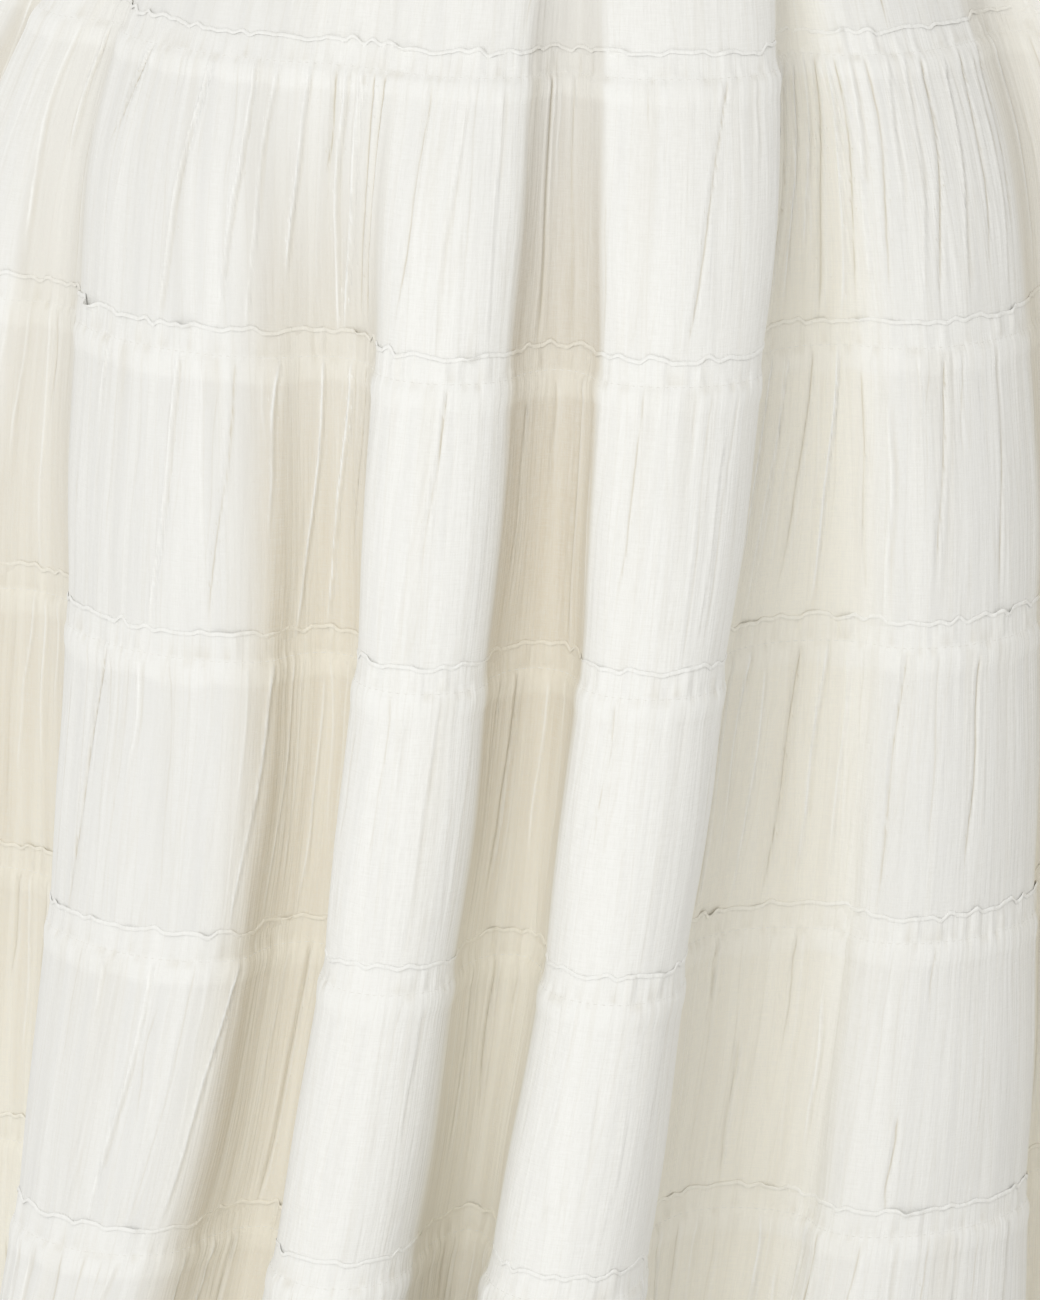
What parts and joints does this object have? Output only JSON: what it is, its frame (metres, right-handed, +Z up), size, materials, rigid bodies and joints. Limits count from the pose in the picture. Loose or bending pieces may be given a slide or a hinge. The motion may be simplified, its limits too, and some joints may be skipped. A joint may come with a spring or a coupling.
{
  "type": "tiered ruffle skirt",
  "caption": "Full-length tiered skirt in crinkled off-white cotton, worn and hollow, with an elastic waistband and gathered tiers that stand up in small ruffles at each seam.",
  "frame": {"origin": "centre of the elastic waistband, on the skirt's middle line, half way up the band", "axes": "+Z up along the middle line of the waist, +X to the right of the skirt as seen from the front, front towards -Y"},
  "size_m": [0.7393, 0.7219, 0.8499],
  "materials": {
    "cotton_gauze": "matt crinkled off-white cotton, lightly see-through where it is one layer",
    "band_cotton": "matt off-white cotton, gathered over elastic"
  },
  "bodies": {
    "root": {"waistband": "band_cotton", "tier_1_front": "cotton_gauze", "tier_1_back": "cotton_gauze", "tier_2_front": "cotton_gauze", "tier_2_back": "cotton_gauze", "tier_3_front": "cotton_gauze", "tier_3_back": "cotton_gauze", "tier_4_front": "cotton_gauze", "tier_4_back": "cotton_gauze", "tier_5_front": "cotton_gauze", "tier_5_back": "cotton_gauze", "tier_6_front": "cotton_gauze", "tier_6_back": "cotton_gauze", "tier_7_front": "cotton_gauze", "tier_7_back": "cotton_gauze"}
  },
  "joints": []
}
